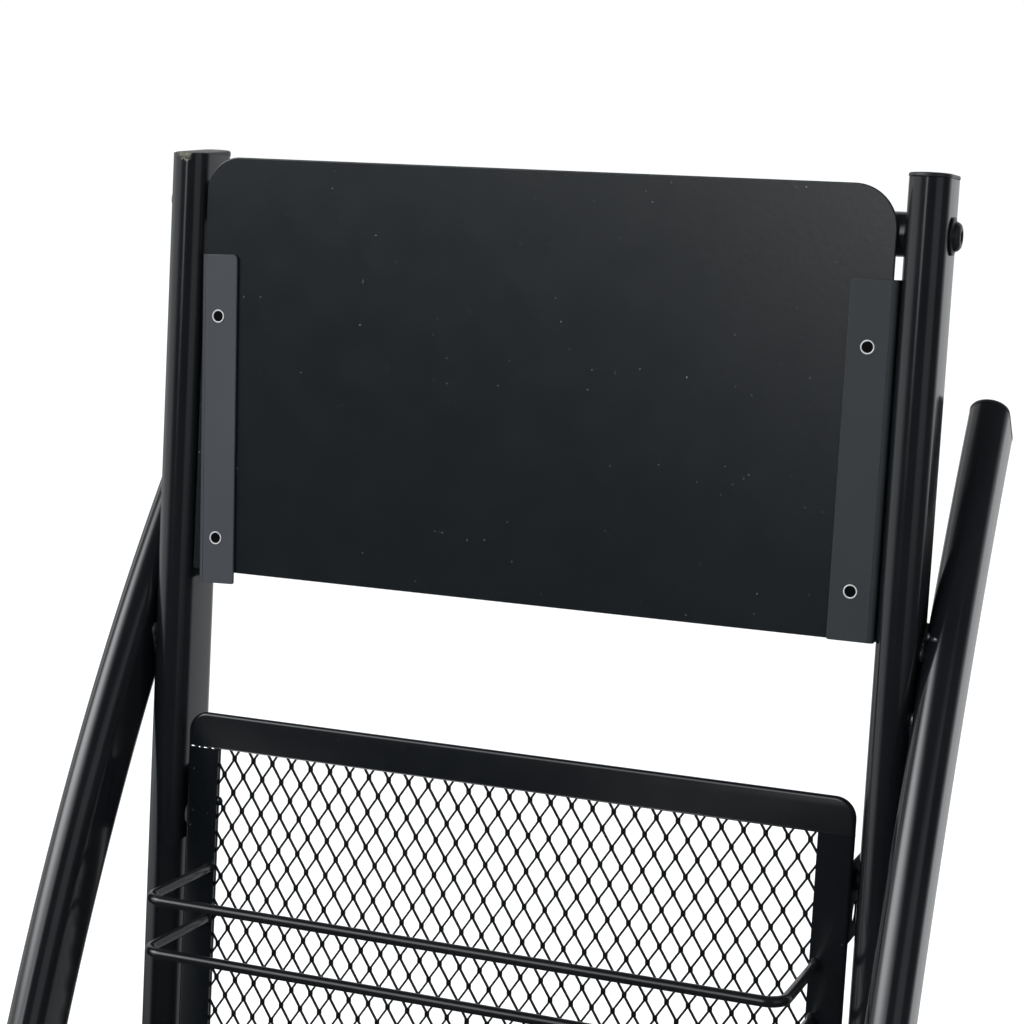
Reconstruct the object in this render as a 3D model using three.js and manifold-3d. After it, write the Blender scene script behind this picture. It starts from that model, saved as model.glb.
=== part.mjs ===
// A floor-standing literature rack: two straight oval uprights lean back between two bow-shaped legs,
// and carry a header panel and four expanded-mesh pockets with wire guards.
// Millimetres, +Z up, the front faces -Y. The origin is on the floor, under the centre of the stand's box.
import * as THREE from "three";
import { mergeVertices } from "three/addons/utils/BufferGeometryUtils.js";
import Module from "manifold-3d";

const wasm = await Module();
wasm.setup();

// ---- driving dimensions ----

const LEAN = THREE.MathUtils.degToRad(8.7);
const RACK_LENGTH = 1412; // along an upright's axis, from the floor to the top of its cap
const SIDES = { left: -1, right: 1 };
const GAP = 0.3; // between pieces that touch

// Flat-oval steel tube of the uprights and the bow legs.
const TUBE = { width: 15, depth: 30, wall: 1.5 };
const UPRIGHT_X = 144.5;
const LEG_X = 160.8;
const TUBE_ARC_STEPS = 7; // per half-round edge, outside
const BORE_ARC_STEPS = 2; // per half-round edge, inside

// The bow legs are one arc each, in the uprights' leaning frame.
const BOW = { radius: 869, standoff: 129, middle: 637.5, topAngle: 39.05, steps: 32 };

const CROSSBAR = { diameter: 16, bore: 6.6, boreDepth: 20 };
const TOP_CROSSBAR_DROP = 20.6;
const FRONT_CROSSBAR_DROP = 1352;
const REAR_CROSSBAR_HEIGHT = 118;

// Flanged button-head screw with a hexagon socket.
const SCREW = { shank: 6, hole: 6.6, reach: 12, flange: 13.6, flangeThick: 1.2, head: 10.5, headHigh: 3.3 };
const SOCKET = { acrossFlats: 4, deep: 2 };

const CAP_THICK = 2.5;
const PLUG = { length: 12, clearance: 0.7 };
const BOW_CAP = { rim: 1.0, dome: 3, inset: 5 };
const SHOE = { wall: 1.8, sleeve: 24, sole: 6 };

const HEADER = { left: 136.2, right: 134.6, height: 162, drop: 3.5, thick: 1.2, front: -10.3 };
const HEADER_CORNERS = { topLeft: 13.5, topRight: 16 };
const BRACKET = { thick: 1.2, drop: 39, height: 129, corner: 2, webBack: 8, webThick: 1.5 };
// The two angles aren't fitted alike: each has its flange width, its distance in from the upright,
// how far it sits below the nominal height, and how far its top leans outwards.
const BRACKET_FIT = {
  left: { flange: 15.4, inset: 1.8, sag: 2.1, turn: THREE.MathUtils.degToRad(1.7) },
  right: { flange: 17, inset: 0, sag: -2.3, turn: 0 },
};
const HEADER_RIVET = { x: 127.3, drops: { upper: 63, lower: 150 }, head: 5.2, shank: 3.6, bore: 2.4, headHigh: 0.7 };

const POCKET = { count: 4, firstDrop: 222.5, pitch: 285, width: 270, height: 228, depth: 50, lip: 16 };
const BORDER = { top: 14, side: 13.5, thick: 2.4, corner: 8, bend: 5, front: -10.6 };
const MESH_THICK = 1.0;
const WIRE = { diameter: 4, x: 124, standoff: 50.5, bend: 7, drops: { upper: 63, lower: 83.5 } };
const TAB = { drops: { upper: 24, lower: 174 }, height: 30, back: 12, thick: 1.2, holeDrop: 20.5, hole: 8.5 };
const TAB_RIVET = { drop: 8, head: 9, headHigh: 1.2, shank: 4.6, hole: 5.2, collar: 8, tail: 6.6, tailHigh: 1.2 };

// ---- finishes ----

const material = (color, roughness, metalness) => new THREE.MeshStandardMaterial({ color, roughness, metalness });
const FINISH = {
  tube: material(0x14171b, 0.25, 0.1),
  bracket: material(0x3d4145, 0.55, 0.1),
  panel: material(0x1c2125, 0.4, 0.1),
  mesh: material(0x101316, 0.4, 0.1),
  wire: material(0x17191c, 0.25, 0.1),
  screw: material(0x16181a, 0.35, 0.6),
  rivet: material(0xc9cccf, 0.25, 1.0),
  plastic: material(0x101214, 0.45, 0.0),
};

// ---- solids and booleans ----

function solidOf(geometry) {
  const bare = geometry.clone();
  bare.deleteAttribute("normal");
  bare.deleteAttribute("uv");
  const merged = mergeVertices(bare, 1e-4);
  return new wasm.Manifold(
    new wasm.Mesh({
      numProp: 3,
      vertProperties: new Float32Array(merged.attributes.position.array),
      triVerts: new Uint32Array(merged.index.array),
    }),
  );
}

function geometryOf(solid) {
  const mesh = solid.getMesh();
  const geometry = new THREE.BufferGeometry();
  geometry.setAttribute("position", new THREE.BufferAttribute(mesh.vertProperties, 3));
  geometry.setIndex(new THREE.BufferAttribute(mesh.triVerts, 1));
  geometry.computeVertexNormals();
  return geometry;
}

const joined = (parts) => parts.slice(1).reduce((whole, part) => whole.add(part), parts[0]);
const cut = (solid, tools) => tools.reduce((rest, tool) => rest.subtract(tool), solid);

// A box given by its low and high corners.
function box(low, high) {
  const size = high.map((value, axis) => value - low[axis]);
  const middle = high.map((value, axis) => (value + low[axis]) / 2);
  return new THREE.BoxGeometry(...size).translate(...middle);
}

// A round bar along X, from x0 to x1, about the line y, z.
function barAlongX(radius, x0, x1, y, z, sides = 12) {
  const bar = new THREE.CylinderGeometry(radius, radius, Math.abs(x1 - x0), sides);
  return bar.rotateZ(Math.PI / 2).translate((x0 + x1) / 2, y, z);
}

// A round bar along Y, from y0 to y1.
function barAlongY(radius, y0, y1, x, z, sides = 12) {
  return new THREE.CylinderGeometry(radius, radius, Math.abs(y1 - y0), sides).translate(x, (y0 + y1) / 2, z);
}

// A turned piece about the X axis; profile holds [along X, radius] from the axis back to the axis.
function turnedAboutX(profile, segments) {
  const points = profile.map(([along, radius]) => new THREE.Vector2(radius, along));
  return new THREE.LatheGeometry(points, segments).rotateZ(-Math.PI / 2);
}

// ---- sections ----

// The outline of a flat oval, width along X and depth along Y, grown or shrunk by offset.
function ovalOutline(offset, arcSteps) {
  const radius = TUBE.width / 2 + offset;
  const half = (TUBE.depth - TUBE.width) / 2;
  const points = [];
  for (const end of [1, -1]) {
    for (let step = 0; step <= arcSteps; step++) {
      const angle = (Math.PI * step) / arcSteps;
      points.push(new THREE.Vector2(end * radius * Math.cos(angle), end * (half + radius * Math.sin(angle))));
    }
  }
  return points;
}

function tubeSection() {
  const section = new THREE.Shape(ovalOutline(0, TUBE_ARC_STEPS));
  section.holes.push(new THREE.Path(ovalOutline(-TUBE.wall, BORE_ARC_STEPS)));
  return section;
}

const extrudeUp = (shape, height) => new THREE.ExtrudeGeometry(shape, { depth: height, bevelEnabled: false });

// ---- the leaning frame: X across, Y square to the uprights and back, Z up along them ----

const along = (drop) => RACK_LENGTH - drop;

// Height over the floor of a point y, z of the leaning frame.
const worldHeight = (y, z) => z * Math.cos(LEAN) - y * Math.sin(LEAN);

// Removes what lies under the floor from a solid of the leaning frame.
function trimAtFloor(solid) {
  const ground = box([-400, -800, -200], [400, 1200, 0]).rotateX(LEAN);
  return solid.subtract(solidOf(ground));
}

// ---- the bow ----

const BOW_CENTRE = { y: BOW.radius - BOW.standoff, z: along(BOW.middle) };

// A point of the bow's centre line; angle 0 is the foremost point and grows upwards.
function bowPoint(angle) {
  return new THREE.Vector3(
    0,
    BOW_CENTRE.y - BOW.radius * Math.cos(angle),
    BOW_CENTRE.z + BOW.radius * Math.sin(angle),
  );
}

class BowArc extends THREE.Curve {
  constructor(from, to) {
    super();
    this.from = from;
    this.to = to;
  }
  getPoint(t, target = new THREE.Vector3()) {
    return target.copy(bowPoint(this.from + (this.to - this.from) * t));
  }
}

// The bow angle at which the centre line is at a height over the floor, on its lower half.
function bowAngleAtHeight(height) {
  const rise = worldHeight(BOW_CENTRE.y, BOW_CENTRE.z) - height;
  return -Math.asin(rise / BOW.radius) - LEAN;
}

const BOW_TOP = THREE.MathUtils.degToRad(BOW.topAngle);
const BOW_END = bowAngleAtHeight(SHOE.sole + (TUBE.depth / 2) * 0.76);
const BOW_GROUND = bowAngleAtHeight(-14);
const REAR_CROSSBAR = bowPoint(bowAngleAtHeight(REAR_CROSSBAR_HEIGHT));

function sweepBow(shape, from, to, steps) {
  return new THREE.ExtrudeGeometry(shape, { steps, bevelEnabled: false, extrudePath: new BowArc(from, to) });
}

// Where the bow passes the uprights' axis.
const CROSSING_ANGLE = Math.acos((BOW.radius - BOW.standoff) / BOW.radius);
const WELD = { width: 13, length: 34, thick: LEG_X - UPRIGHT_X - TUBE.width - GAP };

// ---- pieces ----

function uprightGeometry(side) {
  const tube = extrudeUp(tubeSection(), RACK_LENGTH - CAP_THICK - GAP - SHOE.sole).translate(0, 0, SHOE.sole);
  const inner = -side * (TUBE.width / 2);
  const screwHoles = [TOP_CROSSBAR_DROP, FRONT_CROSSBAR_DROP].map((drop) =>
    solidOf(barAlongX(SCREW.hole / 2, -TUBE.width, TUBE.width, 0, along(drop))),
  );
  const rivetHoles = pocketRivetDrops().map((drop) =>
    solidOf(barAlongX(TAB_RIVET.hole / 2, inner - 3, inner + 3, 0, along(drop), 8)),
  );
  return geometryOf(cut(solidOf(tube), [...screwHoles, ...rivetHoles]));
}

function bowLegGeometry(side) {
  const tube = sweepBow(tubeSection(), BOW_END, BOW_TOP, BOW.steps);
  const inner = -side * (TUBE.width / 2);
  const welds = [CROSSING_ANGLE, -CROSSING_ANGLE].map((angle) => {
    const outer = inner - side * WELD.thick;
    const low = [Math.min(inner + side * 0.4, outer), -WELD.width / 2, -WELD.length / 2];
    const high = [Math.max(inner + side * 0.4, outer), WELD.width / 2, WELD.length / 2];
    const at = bowPoint(angle);
    return solidOf(box(low, high).rotateX(-angle / 2).translate(at.x, at.y, at.z));
  });
  const hole = solidOf(
    barAlongX(SCREW.hole / 2, -TUBE.width, TUBE.width, REAR_CROSSBAR.y, REAR_CROSSBAR.z),
  );
  return geometryOf(joined([solidOf(tube), ...welds]).subtract(hole));
}

function crossbarGeometry(length) {
  const half = length / 2;
  const bar = solidOf(barAlongX(CROSSBAR.diameter / 2, -half, half, 0, 0, 20));
  const bores = [-1, 1].map((end) =>
    solidOf(barAlongX(CROSSBAR.bore / 2, end * (half - CROSSBAR.boreDepth), end * (half + 2), 0, 0, 10)),
  );
  return geometryOf(cut(bar, bores));
}

// Head outwards along +X from 0; the shank runs through the tube into the crossbar.
function screwGeometry() {
  const shank = SCREW.shank / 2;
  const tip = -(TUBE.width + GAP + SCREW.reach);
  const rim = SCREW.head / 2;
  const body = turnedAboutX(
    [
      [tip, 0],
      [tip, shank - 0.6],
      [tip + 0.6, shank],
      [GAP, shank],
      [GAP, SCREW.flange / 2],
      [GAP + SCREW.flangeThick * 0.7, SCREW.flange / 2],
      [GAP + SCREW.flangeThick, rim],
      [GAP + SCREW.headHigh * 0.75, rim * 0.8],
      [GAP + SCREW.headHigh, rim * 0.5],
      [GAP + SCREW.headHigh, 0],
    ],
    14,
  );
  const socketRadius = SOCKET.acrossFlats / Math.sqrt(3);
  const top = GAP + SCREW.headHigh;
  const socket = barAlongX(socketRadius, top - SOCKET.deep, top + 1, 0, 0, 6);
  return geometryOf(solidOf(body).subtract(solidOf(socket)));
}

function plugSolid(height) {
  const stem = new THREE.Shape(ovalOutline(-TUBE.wall - PLUG.clearance, BORE_ARC_STEPS));
  return solidOf(extrudeUp(stem, height)).translate([0, 0, -height]);
}

// A plug with a flat rounded head; its underside is at z = 0.
function uprightCapGeometry() {
  const head = new THREE.ExtrudeGeometry(new THREE.Shape(ovalOutline(0, TUBE_ARC_STEPS)), {
    depth: CAP_THICK - 0.8,
    bevelThickness: 0.8,
    bevelSize: 0.8,
    bevelOffset: -0.8,
    bevelSegments: 1,
  }).translate(0, 0, 0.8);
  const flat = box([-20, -20, 0], [20, 20, 10]);
  return geometryOf(solidOf(head).intersect(solidOf(flat)).add(plugSolid(PLUG.length)));
}

// A plug with a domed head; its underside is at z = 0.
function bowCapGeometry() {
  const head = new THREE.ExtrudeGeometry(new THREE.Shape(ovalOutline(0, TUBE_ARC_STEPS)), {
    depth: BOW_CAP.rim,
    bevelThickness: BOW_CAP.dome,
    bevelSize: BOW_CAP.inset,
    bevelOffset: -BOW_CAP.inset,
    bevelSegments: 3,
  });
  const flat = box([-20, -20, 0], [20, 20, 20]);
  return geometryOf(solidOf(head).intersect(solidOf(flat)).add(plugSolid(PLUG.length)));
}

// A shoe over an upright's lower end, cut level with the floor.
function frontShoeGeometry() {
  const outer = extrudeUp(new THREE.Shape(ovalOutline(SHOE.wall, 6)), SHOE.sole + SHOE.sleeve + 10);
  const room = extrudeUp(new THREE.Shape(ovalOutline(GAP, TUBE_ARC_STEPS)), SHOE.sleeve + 20);
  const shoe = solidOf(outer)
    .translate([0, 0, -10])
    .subtract(solidOf(room).translate([0, 0, SHOE.sole - GAP]));
  return geometryOf(trimAtFloor(shoe));
}

// A shoe over a bow leg's lower end, cut level with the floor.
function rearShoeGeometry() {
  const sleeveAngle = SHOE.sleeve / BOW.radius;
  const clearance = GAP / BOW.radius;
  const outer = sweepBow(new THREE.Shape(ovalOutline(SHOE.wall, 6)), BOW_GROUND - 0.02, BOW_END + sleeveAngle, 4);
  const room = sweepBow(
    new THREE.Shape(ovalOutline(GAP, TUBE_ARC_STEPS)),
    BOW_END - clearance,
    BOW_END + 3 * sleeveAngle,
    4,
  );
  return geometryOf(trimAtFloor(solidOf(outer).subtract(solidOf(room))));
}

// A plate standing square to Y, its lower left corner at x, z = 0, its front at y = 0.
function uprightPlate(width, height, thick, corners) {
  const { topLeft = 0, topRight = 0 } = corners;
  const shape = new THREE.Shape();
  shape.moveTo(0, 0);
  shape.lineTo(width, 0);
  shape.lineTo(width, height - topRight);
  if (topRight) shape.absarc(width - topRight, height - topRight, topRight, 0, Math.PI / 2, false);
  shape.lineTo(topLeft, height);
  if (topLeft) shape.absarc(topLeft, height - topLeft, topLeft, Math.PI / 2, Math.PI, false);
  shape.lineTo(0, 0);
  const plate = new THREE.ExtrudeGeometry(shape, { depth: thick, bevelEnabled: false, curveSegments: 8 });
  return plate.rotateX(Math.PI / 2).translate(0, thick, 0);
}

// Leans a piece of a header angle, or of what it fits, about the middle of that angle.
function leanWithBracket(geometry, label) {
  const side = SIDES[label];
  const { sag, turn } = BRACKET_FIT[label];
  const x = side * HEADER_RIVET.x;
  const z = along(BRACKET.drop + sag + BRACKET.height / 2);
  return geometry.translate(-x, 0, -z).rotateY(side * turn).translate(x, 0, z);
}

// Where a header rivet's axis passes, in X and Z.
function headerRivetSpot(label, drop) {
  const spot = new THREE.BufferGeometry().setFromPoints([
    new THREE.Vector3(SIDES[label] * HEADER_RIVET.x, 0, along(drop + BRACKET_FIT[label].sag)),
  ]);
  const { array } = leanWithBracket(spot, label).attributes.position;
  return { x: array[0], z: array[2] };
}

function headerRivetHoles(depth) {
  const holes = [];
  for (const label of Object.keys(SIDES)) {
    for (const drop of Object.values(HEADER_RIVET.drops)) {
      const radius = HEADER_RIVET.shank / 2 + GAP;
      const { x, z } = headerRivetSpot(label, drop);
      holes.push(solidOf(barAlongY(radius, -depth, depth, x, z, 10)));
    }
  }
  return holes;
}

// A header angle's web, grown by room on its inner side and top; out is how far it runs outwards.
function bracketWeb(label, room, out) {
  const side = SIDES[label];
  const { inset, sag } = BRACKET_FIT[label];
  const outer = UPRIGHT_X - TUBE.width / 2 - GAP - inset;
  const front = HEADER.front - GAP - BRACKET.thick;
  const foot = along(BRACKET.drop + sag + BRACKET.height);
  const xs = [side * (outer + out), side * (outer - BRACKET.webThick - room)].sort((a, b) => a - b);
  return box([xs[0], front, foot - room], [xs[1], BRACKET.webBack, foot + BRACKET.height + room]);
}

function headerPanelGeometry() {
  const plate = uprightPlate(HEADER.left + HEADER.right, HEADER.height, HEADER.thick, HEADER_CORNERS);
  plate.translate(-HEADER.left, HEADER.front, along(HEADER.drop + HEADER.height));
  const notches = Object.keys(SIDES).map((label) => solidOf(leanWithBracket(bracketWeb(label, GAP, 5), label)));
  return geometryOf(cut(solidOf(plate), [...headerRivetHoles(40), ...notches]));
}

// An angle: its flange lies over the panel's edge and its web runs back along the upright.
function headerBracketGeometry(label) {
  const side = SIDES[label];
  const { flange: width, inset, sag } = BRACKET_FIT[label];
  const outer = UPRIGHT_X - TUBE.width / 2 - GAP - inset;
  const front = HEADER.front - GAP - BRACKET.thick;
  const foot = along(BRACKET.drop + sag + BRACKET.height);
  const corners = side < 0 ? { topRight: BRACKET.corner } : { topLeft: BRACKET.corner };
  const flange = uprightPlate(width, BRACKET.height, BRACKET.thick, corners);
  flange.translate(side < 0 ? -outer : outer - width, front, foot);
  const solids = [flange, bracketWeb(label, 0, 0)].map((geometry) => solidOf(leanWithBracket(geometry, label)));
  return geometryOf(cut(joined(solids), headerRivetHoles(40)));
}

// A hollow rivet along Y; its head bears on the bracket's flange at y = 0.
function headerRivetGeometry() {
  const bore = HEADER_RIVET.bore / 2;
  const shank = HEADER_RIVET.shank / 2;
  const head = HEADER_RIVET.head / 2;
  const back = BRACKET.thick + GAP + HEADER.thick + 2 * GAP;
  const profile = [
    [-HEADER_RIVET.headHigh, bore],
    [-HEADER_RIVET.headHigh, head - 0.6],
    [0, head],
    [0, shank],
    [back, shank],
    [back, head - 0.3],
    [back + HEADER_RIVET.headHigh, head - 0.8],
    [back + HEADER_RIVET.headHigh, bore],
    [-HEADER_RIVET.headHigh, bore],
  ];
  const points = profile.map(([depth, radius]) => new THREE.Vector2(radius, depth));
  return new THREE.LatheGeometry(points, 12);
}

// ---- pockets, in a frame whose origin is at the top middle of the pocket's front face ----

function pocketRivetDrops() {
  const drops = [];
  for (let tier = 0; tier < POCKET.count; tier++) {
    for (const tabDrop of Object.values(TAB.drops)) {
      drops.push(POCKET.firstDrop + tier * POCKET.pitch + tabDrop + TAB_RIVET.drop);
    }
  }
  return drops;
}

// The pocket's profile seen from the side: down the back, round the bend, forward and up the lip.
// inset moves the profile in from the frame's faces; the points are [y, z].
function trayProfile(inset, topZ, lipTop) {
  const back = BORDER.thick - inset;
  const front = inset;
  const floor = -POCKET.height;
  const lip = -POCKET.depth;
  const shape = new THREE.Shape();
  const outerBend = BORDER.bend + BORDER.thick - inset;
  const innerBend = BORDER.bend + inset;
  shape.moveTo(front, topZ);
  shape.lineTo(front, floor + BORDER.thick + BORDER.bend);
  shape.absarc(-BORDER.bend, floor + BORDER.thick + BORDER.bend, innerBend, 0, -Math.PI / 2, true);
  if (lipTop) {
    shape.lineTo(lip + BORDER.thick, floor + BORDER.thick - inset);
    shape.lineTo(lip + BORDER.thick, floor + lipTop);
    shape.lineTo(lip, floor + lipTop);
    shape.lineTo(lip, floor + inset);
  } else {
    shape.lineTo(lip + BORDER.thick + GAP, floor + BORDER.thick - inset);
    shape.lineTo(lip + BORDER.thick + GAP, floor + inset);
  }
  shape.lineTo(-BORDER.bend, floor + inset);
  shape.absarc(-BORDER.bend, floor + BORDER.thick + BORDER.bend, outerBend, -Math.PI / 2, 0, false);
  shape.lineTo(back, topZ);
  shape.lineTo(front, topZ);
  return shape;
}

// A side profile extruded across the pocket, from x0 to x1.
function acrossPocket(shape, x0, x1) {
  const strip = new THREE.ExtrudeGeometry(shape, { depth: x1 - x0, bevelEnabled: false, curveSegments: 3 });
  const turn = new THREE.Matrix4().makeBasis(
    new THREE.Vector3(0, 1, 0),
    new THREE.Vector3(0, 0, 1),
    new THREE.Vector3(1, 0, 0),
  );
  return strip.applyMatrix4(turn).translate(x0, 0, 0);
}

function tabSolid(side, drop) {
  const outer = POCKET.width / 2;
  const xs = [side * outer, side * (outer - TAB.thick)].sort((a, b) => a - b);
  const backY = TAB.back - BORDER.front;
  const plate = solidOf(box([xs[0], BORDER.thick / 2, -drop - TAB.height], [xs[1], backY, -drop]));
  const axisY = -BORDER.front;
  const hole = barAlongX(TAB.hole / 2, xs[0] - 2, xs[1] + 2, axisY, -drop - TAB.holeDrop, 10);
  const rivetHole = barAlongX(TAB_RIVET.hole / 2, xs[0] - 2, xs[1] + 2, axisY, -drop - TAB_RIVET.drop, 8);
  return cut(plate, [solidOf(hole), solidOf(rivetHole)]);
}

function pocketFrameGeometry() {
  const half = POCKET.width / 2;
  const inner = half - BORDER.side;
  const sideShape = trayProfile(0, 0, POCKET.lip);
  const strips = [
    solidOf(acrossPocket(sideShape, -half, -inner)),
    solidOf(acrossPocket(sideShape, inner, half)),
    solidOf(box([-half, 0, -BORDER.top], [half, BORDER.thick, 0])),
    solidOf(
      box(
        [-half, -POCKET.depth, -POCKET.height],
        [half, -POCKET.depth + BORDER.thick, -POCKET.height + POCKET.lip],
      ),
    ),
  ];
  const corners = { topLeft: BORDER.corner, topRight: BORDER.corner };
  const outline = uprightPlate(POCKET.width, POCKET.height + 10, 100, corners);
  outline.translate(-half, -80, -POCKET.height - 10);
  const loop = joined(strips).intersect(solidOf(outline));
  const tabs = [];
  for (const side of Object.values(SIDES)) {
    for (const drop of Object.values(TAB.drops)) tabs.push(tabSolid(side, drop));
  }
  return geometryOf(joined([loop, ...tabs]));
}

// The expanded-metal sheet as a plain thin sheet, bent with the frame that holds its edges.
function pocketMeshGeometry() {
  const inner = POCKET.width / 2 - BORDER.side - GAP;
  const inset = (BORDER.thick - MESH_THICK) / 2;
  return acrossPocket(trayProfile(inset, -BORDER.top - GAP, 0), -inner, inner);
}

// The guard wire's centre line: out from one side border, across the front and back to the other.
// Its stations are the ends of the straight stretches and a few steps round each bend.
class GuardWire extends THREE.Curve {
  constructor() {
    super();
    const bendSteps = 4;
    this.stations = [{ x: -WIRE.x, y: -GAP, heading: -Math.PI / 2 }];
    for (const side of [-1, 1]) {
      for (let step = 0; step <= bendSteps; step++) {
        const turned = (Math.PI / 2) * (step / bendSteps);
        const heading = side < 0 ? turned - Math.PI / 2 : turned;
        this.stations.push({
          x: side * (WIRE.x - WIRE.bend) + WIRE.bend * Math.sin(heading),
          y: -WIRE.standoff + WIRE.bend - WIRE.bend * Math.cos(heading),
          heading,
        });
      }
    }
    this.stations.push({ x: WIRE.x, y: -GAP, heading: Math.PI / 2 });
  }
  get steps() {
    return this.stations.length - 1;
  }
  stationAt(t) {
    return this.stations[Math.round(t * this.steps)];
  }
  getPoint(t, target = new THREE.Vector3()) {
    const { x, y } = this.stationAt(t);
    return target.set(x, y, 0);
  }
  getPointAt(t, target) {
    return this.getPoint(t, target);
  }
  getTangentAt(t, target = new THREE.Vector3()) {
    const { heading } = this.stationAt(t);
    return target.set(Math.cos(heading), Math.sin(heading), 0);
  }
}

function guardWireGeometry() {
  const path = new GuardWire();
  const section = new THREE.Shape();
  const sides = 8;
  const points = [];
  for (let corner = 0; corner < sides; corner++) {
    const angle = (2 * Math.PI * (corner + 0.5)) / sides;
    points.push(new THREE.Vector2(Math.cos(angle), Math.sin(angle)).multiplyScalar(WIRE.diameter / 2));
  }
  section.setFromPoints(points);
  return new THREE.ExtrudeGeometry(section, { steps: path.steps, bevelEnabled: false, extrudePath: path });
}

// Fastens a pocket's tab to the upright; head inside the pocket, collar in the gap, tail in the tube.
function tabRivetGeometry() {
  const web = POCKET.width / 2;
  const tubeFace = UPRIGHT_X - TUBE.width / 2;
  const webInner = web - TAB.thick - GAP;
  const tubeInner = tubeFace + TUBE.wall + GAP;
  const shank = TAB_RIVET.shank / 2;
  return turnedAboutX(
    [
      [webInner - TAB_RIVET.headHigh, 0],
      [webInner - TAB_RIVET.headHigh, TAB_RIVET.head / 2 - 0.8],
      [webInner, TAB_RIVET.head / 2],
      [webInner, shank],
      [web + GAP, shank],
      [web + GAP, TAB_RIVET.collar / 2],
      [tubeFace - GAP, TAB_RIVET.collar / 2],
      [tubeFace - GAP, shank],
      [tubeInner, shank],
      [tubeInner, TAB_RIVET.tail / 2],
      [tubeInner + TAB_RIVET.tailHigh, TAB_RIVET.tail / 2 - 0.8],
      [tubeInner + TAB_RIVET.tailHigh, 0],
    ],
    8,
  );
}

// ---- assembly ----

const stand = new THREE.Group();
const rack = new THREE.Group();
rack.rotation.x = -LEAN;
stand.add(rack);

function place(parent, name, geometry, finish, x = 0, y = 0, z = 0) {
  const mesh = new THREE.Mesh(geometry, finish);
  mesh.name = name;
  mesh.position.set(x, y, z);
  parent.add(mesh);
  return mesh;
}

function addSideFrames() {
  for (const [label, side] of Object.entries(SIDES)) {
    place(rack, `upright_${label}`, uprightGeometry(side), FINISH.tube, side * UPRIGHT_X);
    place(rack, `bow_leg_${label}`, bowLegGeometry(side), FINISH.tube, side * LEG_X);
    const capZ = along(CAP_THICK);
    place(rack, `upright_cap_${label}`, uprightCapGeometry(), FINISH.plastic, side * UPRIGHT_X, 0, capZ);
    const end = bowPoint(BOW_TOP + GAP / BOW.radius);
    const cap = place(rack, `bow_cap_${label}`, bowCapGeometry(), FINISH.plastic, side * LEG_X, end.y, end.z);
    cap.rotation.x = -BOW_TOP;
    place(rack, `front_shoe_${label}`, frontShoeGeometry(), FINISH.plastic, side * UPRIGHT_X);
    place(rack, `rear_shoe_${label}`, rearShoeGeometry(), FINISH.plastic, side * LEG_X);
  }
}

// A crossbar between two tubes whose centres are at +-tubeX, with a screw through each tube.
function addCrossbar(name, tubeX, y, z) {
  const length = 2 * (tubeX - TUBE.width / 2 - GAP);
  place(rack, `${name}_crossbar`, crossbarGeometry(length), FINISH.tube, 0, y, z);
  for (const [label, side] of Object.entries(SIDES)) {
    const faceX = side * (tubeX + TUBE.width / 2);
    const screw = place(rack, `${name}_screw_${label}`, screwGeometry(), FINISH.screw, faceX, y, z);
    screw.rotation.z = side < 0 ? Math.PI : 0;
  }
}

function addHeader() {
  place(rack, "header_panel", headerPanelGeometry(), FINISH.panel);
  for (const label of Object.keys(SIDES)) {
    place(rack, `header_bracket_${label}`, headerBracketGeometry(label), FINISH.bracket);
    for (const [level, drop] of Object.entries(HEADER_RIVET.drops)) {
      const front = HEADER.front - GAP - BRACKET.thick - GAP;
      const name = `header_rivet_${label}_${level}`;
      const { x, z } = headerRivetSpot(label, drop);
      place(rack, name, headerRivetGeometry(), FINISH.rivet, x, front, z);
    }
  }
}

function addPocket(tier) {
  const pocket = new THREE.Group();
  const name = `pocket_${tier + 1}`;
  pocket.position.set(0, BORDER.front, along(POCKET.firstDrop + tier * POCKET.pitch));
  rack.add(pocket);
  place(pocket, `${name}_frame`, pocketFrameGeometry(), FINISH.panel);
  place(pocket, `${name}_mesh`, pocketMeshGeometry(), FINISH.mesh);
  for (const [level, drop] of Object.entries(WIRE.drops)) {
    place(pocket, `${name}_wire_${level}`, guardWireGeometry(), FINISH.wire, 0, 0, -drop);
  }
  for (const [label, side] of Object.entries(SIDES)) {
    for (const [level, drop] of Object.entries(TAB.drops)) {
      const z = -drop - TAB_RIVET.drop;
      const rivetName = `${name}_rivet_${label}_${level}`;
      const rivet = place(pocket, rivetName, tabRivetGeometry(), FINISH.screw, 0, -BORDER.front, z);
      rivet.rotation.z = side < 0 ? Math.PI : 0;
    }
  }
}

addSideFrames();
addCrossbar("top", UPRIGHT_X, 0, along(TOP_CROSSBAR_DROP));
addCrossbar("front", UPRIGHT_X, 0, along(FRONT_CROSSBAR_DROP));
addCrossbar("rear", LEG_X, REAR_CROSSBAR.y, REAR_CROSSBAR.z);
addHeader();
for (let tier = 0; tier < POCKET.count; tier++) addPocket(tier);

// Centres the stand's box on the origin; it already stands on the floor.
const extent = new THREE.Box3().setFromObject(stand, true);
rack.position.y = -(extent.min.y + extent.max.y) / 2;

export default stand;
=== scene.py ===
"""Looks for the literature rack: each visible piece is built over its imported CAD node, in metres."""

import math
import random

import bpy
from mathutils import Matrix, Vector


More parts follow.
